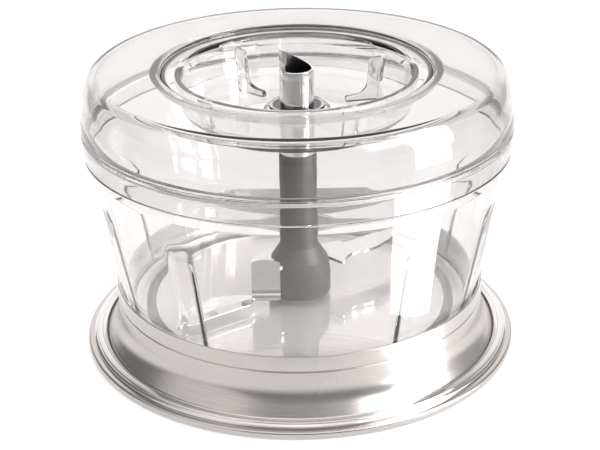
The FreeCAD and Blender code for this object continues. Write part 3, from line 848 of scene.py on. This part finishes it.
def make_floor():
    """A white floor to the camera; other rays see it greyed by painted shade to the sides and in front.
    """
    corners = [(x * FLOOR_HALF, y * FLOOR_HALF) for x, y in ((-1, -1), (1, -1), (1, 1), (-1, 1))]
    mesh = flat_mesh("studio_floor", corners, 0)
    floor = bpy.data.objects.new("studio_floor", mesh)
    material, nodes, links, shader = new_material("floor_white")
    place = split_place(nodes, links)
    aside = math_node(nodes, links, "ABSOLUTE", place["X"])
    spread = math_node(nodes, links, "MULTIPLY_ADD", place["Y"], SIDE_LEAN, aside)
    side = spread_node(nodes, links, spread, SIDE_FADE, (1.0, 0.0), "SMOOTHSTEP")
    front = spread_node(nodes, links, place["Y"], FRONT_FADE, (1.0, 0.0), "SMOOTHSTEP")
    # Painted shade: for all but camera rays the floor greys, and its glow dims, to the sides and in
    # front.
    unshaded_share = math_node(nodes, links, "MULTIPLY", side, front)
    path = nodes.new("ShaderNodeLightPath")
    seen = math_node(nodes, links, "MAXIMUM", unshaded_share, path.outputs["Is Camera Ray"])
    shade = spread_node(nodes, links, seen, (0.0, 1.0), FLOOR_SHADE)
    links.new(shade, shader.inputs["Base Color"])
    links.new(math_node(nodes, links, "MULTIPLY", seen, FLOOR_GLOW), shader.inputs["Emission Strength"])
    shader.inputs["Roughness"].default_value = 0.6
    shader.inputs["Emission Color"].default_value = (1, 1, 1, 1)
    mesh.materials.append(material)
    bpy.context.scene.collection.objects.link(floor)


def make_world():
    """A studio lit by soft patches, each a cone of sky; the camera itself sees white."""
    world = bpy.data.worlds.new("studio")
    bpy.context.scene.world = world
    world.use_nodes = True
    nodes, links = world.node_tree.nodes, world.node_tree.links
    place = nodes.new("ShaderNodeTexCoord")
    total = SKY_LEVEL
    for azimuth, elevation, inner, outer, amount in SKY_PATCHES:
        a, e = math.radians(azimuth), math.radians(elevation)
        toward = nodes.new("ShaderNodeVectorMath")
        toward.operation = "DOT_PRODUCT"
        toward.inputs[1].default_value = (
            math.sin(a) * math.cos(e),
            -math.cos(a) * math.cos(e),
            math.sin(e),
        )
        links.new(place.outputs["Generated"], toward.inputs[0])
        cone = (math.cos(math.radians(outer)), math.cos(math.radians(inner)))
        patch = spread_node(nodes, links, toward.outputs["Value"], cone, (0.0, amount), "SMOOTHSTEP")
        total = math_node(nodes, links, "ADD", total, patch)
    backdrop = nodes["Background"]
    backdrop.inputs["Color"].default_value = SKY_COLOUR
    links.new(total, backdrop.inputs["Strength"])
    seen = nodes.new("ShaderNodeBackground")
    seen.inputs["Color"].default_value = (1, 1, 1, 1)
    path = nodes.new("ShaderNodeLightPath")
    choose = nodes.new("ShaderNodeMixShader")
    links.new(path.outputs["Is Camera Ray"], choose.inputs["Fac"])
    links.new(backdrop.outputs["Background"], choose.inputs[1])
    links.new(seen.outputs["Background"], choose.inputs[2])
    links.new(choose.outputs["Shader"], nodes["World Output"].inputs["Surface"])


def make_camera():
    """The camera, on the front side, looking down at the object."""
    data = bpy.data.cameras.new("camera")
    data.sensor_width = 36.0
    data.lens = CAMERA_LENS
    data.shift_x = CAMERA_SHIFT
    camera = bpy.data.objects.new("camera", data)
    back = Vector((0, -math.cos(CAMERA_ELEVATION), math.sin(CAMERA_ELEVATION)))
    camera.location = CAMERA_AIM + back * CAMERA_DISTANCE
    turn = (-back).to_track_quat("-Z", "Y").to_matrix()
    camera.rotation_euler = (turn @ Matrix.Rotation(CAMERA_ROLL, 3, "Z")).to_euler()
    bpy.context.scene.collection.objects.link(camera)
    bpy.context.scene.camera = camera


def make_lit_slot():
    """A lit slot in the table, whose reflection is the white band on the right."""
    mesh = flat_mesh("lit_slot", LIT_SLOT, LIT_SLOT_HEIGHT)
    slot = bpy.data.objects.new("lit_slot", mesh)
    material, _, _, shader = new_material("lit_slot")
    shader.inputs["Base Color"].default_value = (0, 0, 0, 1)
    shader.inputs["Emission Color"].default_value = (1, 1, 1, 1)
    shader.inputs["Emission Strength"].default_value = LIT_SLOT_GLOW
    mesh.materials.append(material)
    bpy.context.scene.collection.objects.link(slot)
    slot.visible_camera = False
    slot.visible_diffuse = False
    slot.visible_transmission = False
    slot.visible_shadow = False


def make_studio():
    """Surroundings, floor and lamps, and enough light bounces for nested clear walls."""
    make_world()
    make_floor()
    strip = area_light(
        "strip_right", place=(0.85, -0.31, 0.40), aim=(0, 0, 0.09), size=(0.40, 1.1), power=15,
    )
    strip.visible_diffuse = False
    make_lit_slot()
    area_light("fill_right", place=(0.7, -0.6, 0.7), aim=(0, 0, 0.06), size=(0.5, 0.5), power=2.5)
    scene = bpy.context.scene
    scene.view_settings.view_transform = "Standard"
    scene.cycles.max_bounces = 24
    scene.cycles.transmission_bounces = 24
    scene.cycles.glossy_bounces = 8
    scene.cycles.transparent_max_bounces = 16


clear_pieces = [
    make_bowl(),
    make_lid(),
    make_well(),
    make_hook("hook_left", 140, 31.0),
    make_hook("hook_right", 12, 34.0),
]
for piece in clear_pieces:
    piece.visible_shadow = False
make_base()
make_stem()
make_tube()
paint_kept()
make_camera()
make_studio()
